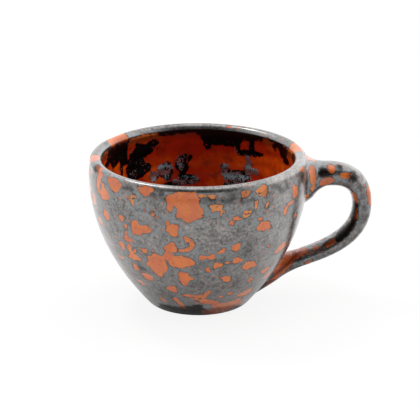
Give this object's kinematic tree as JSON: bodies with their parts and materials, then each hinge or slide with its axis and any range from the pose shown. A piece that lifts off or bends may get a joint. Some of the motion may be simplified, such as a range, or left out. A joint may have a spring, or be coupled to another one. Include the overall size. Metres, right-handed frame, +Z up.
{
  "type": "latte cup",
  "caption": "Wheel-thrown glazed stoneware latte cup with a wide rounded mouth, a tapering bowl on a flat foot and a pulled strap handle.",
  "frame": {"origin": "middle of the flat foot, on the surface that the cup stands on", "axes": "+Z up through the mouth, +X from the cup's axis towards the handle, +Y completes the frame"},
  "size_m": [0.1301, 0.1, 0.0703],
  "materials": {
    "gunmetal_glaze": "satin",
    "strap_glaze": "satin",
    "slip": "satin"
  },
  "bodies": {
    "root": {"cup_body": "gunmetal_glaze", "handle": "strap_glaze", "upper_slip_seam": "slip", "lower_slip_seam": "slip"}
  },
  "joints": []
}
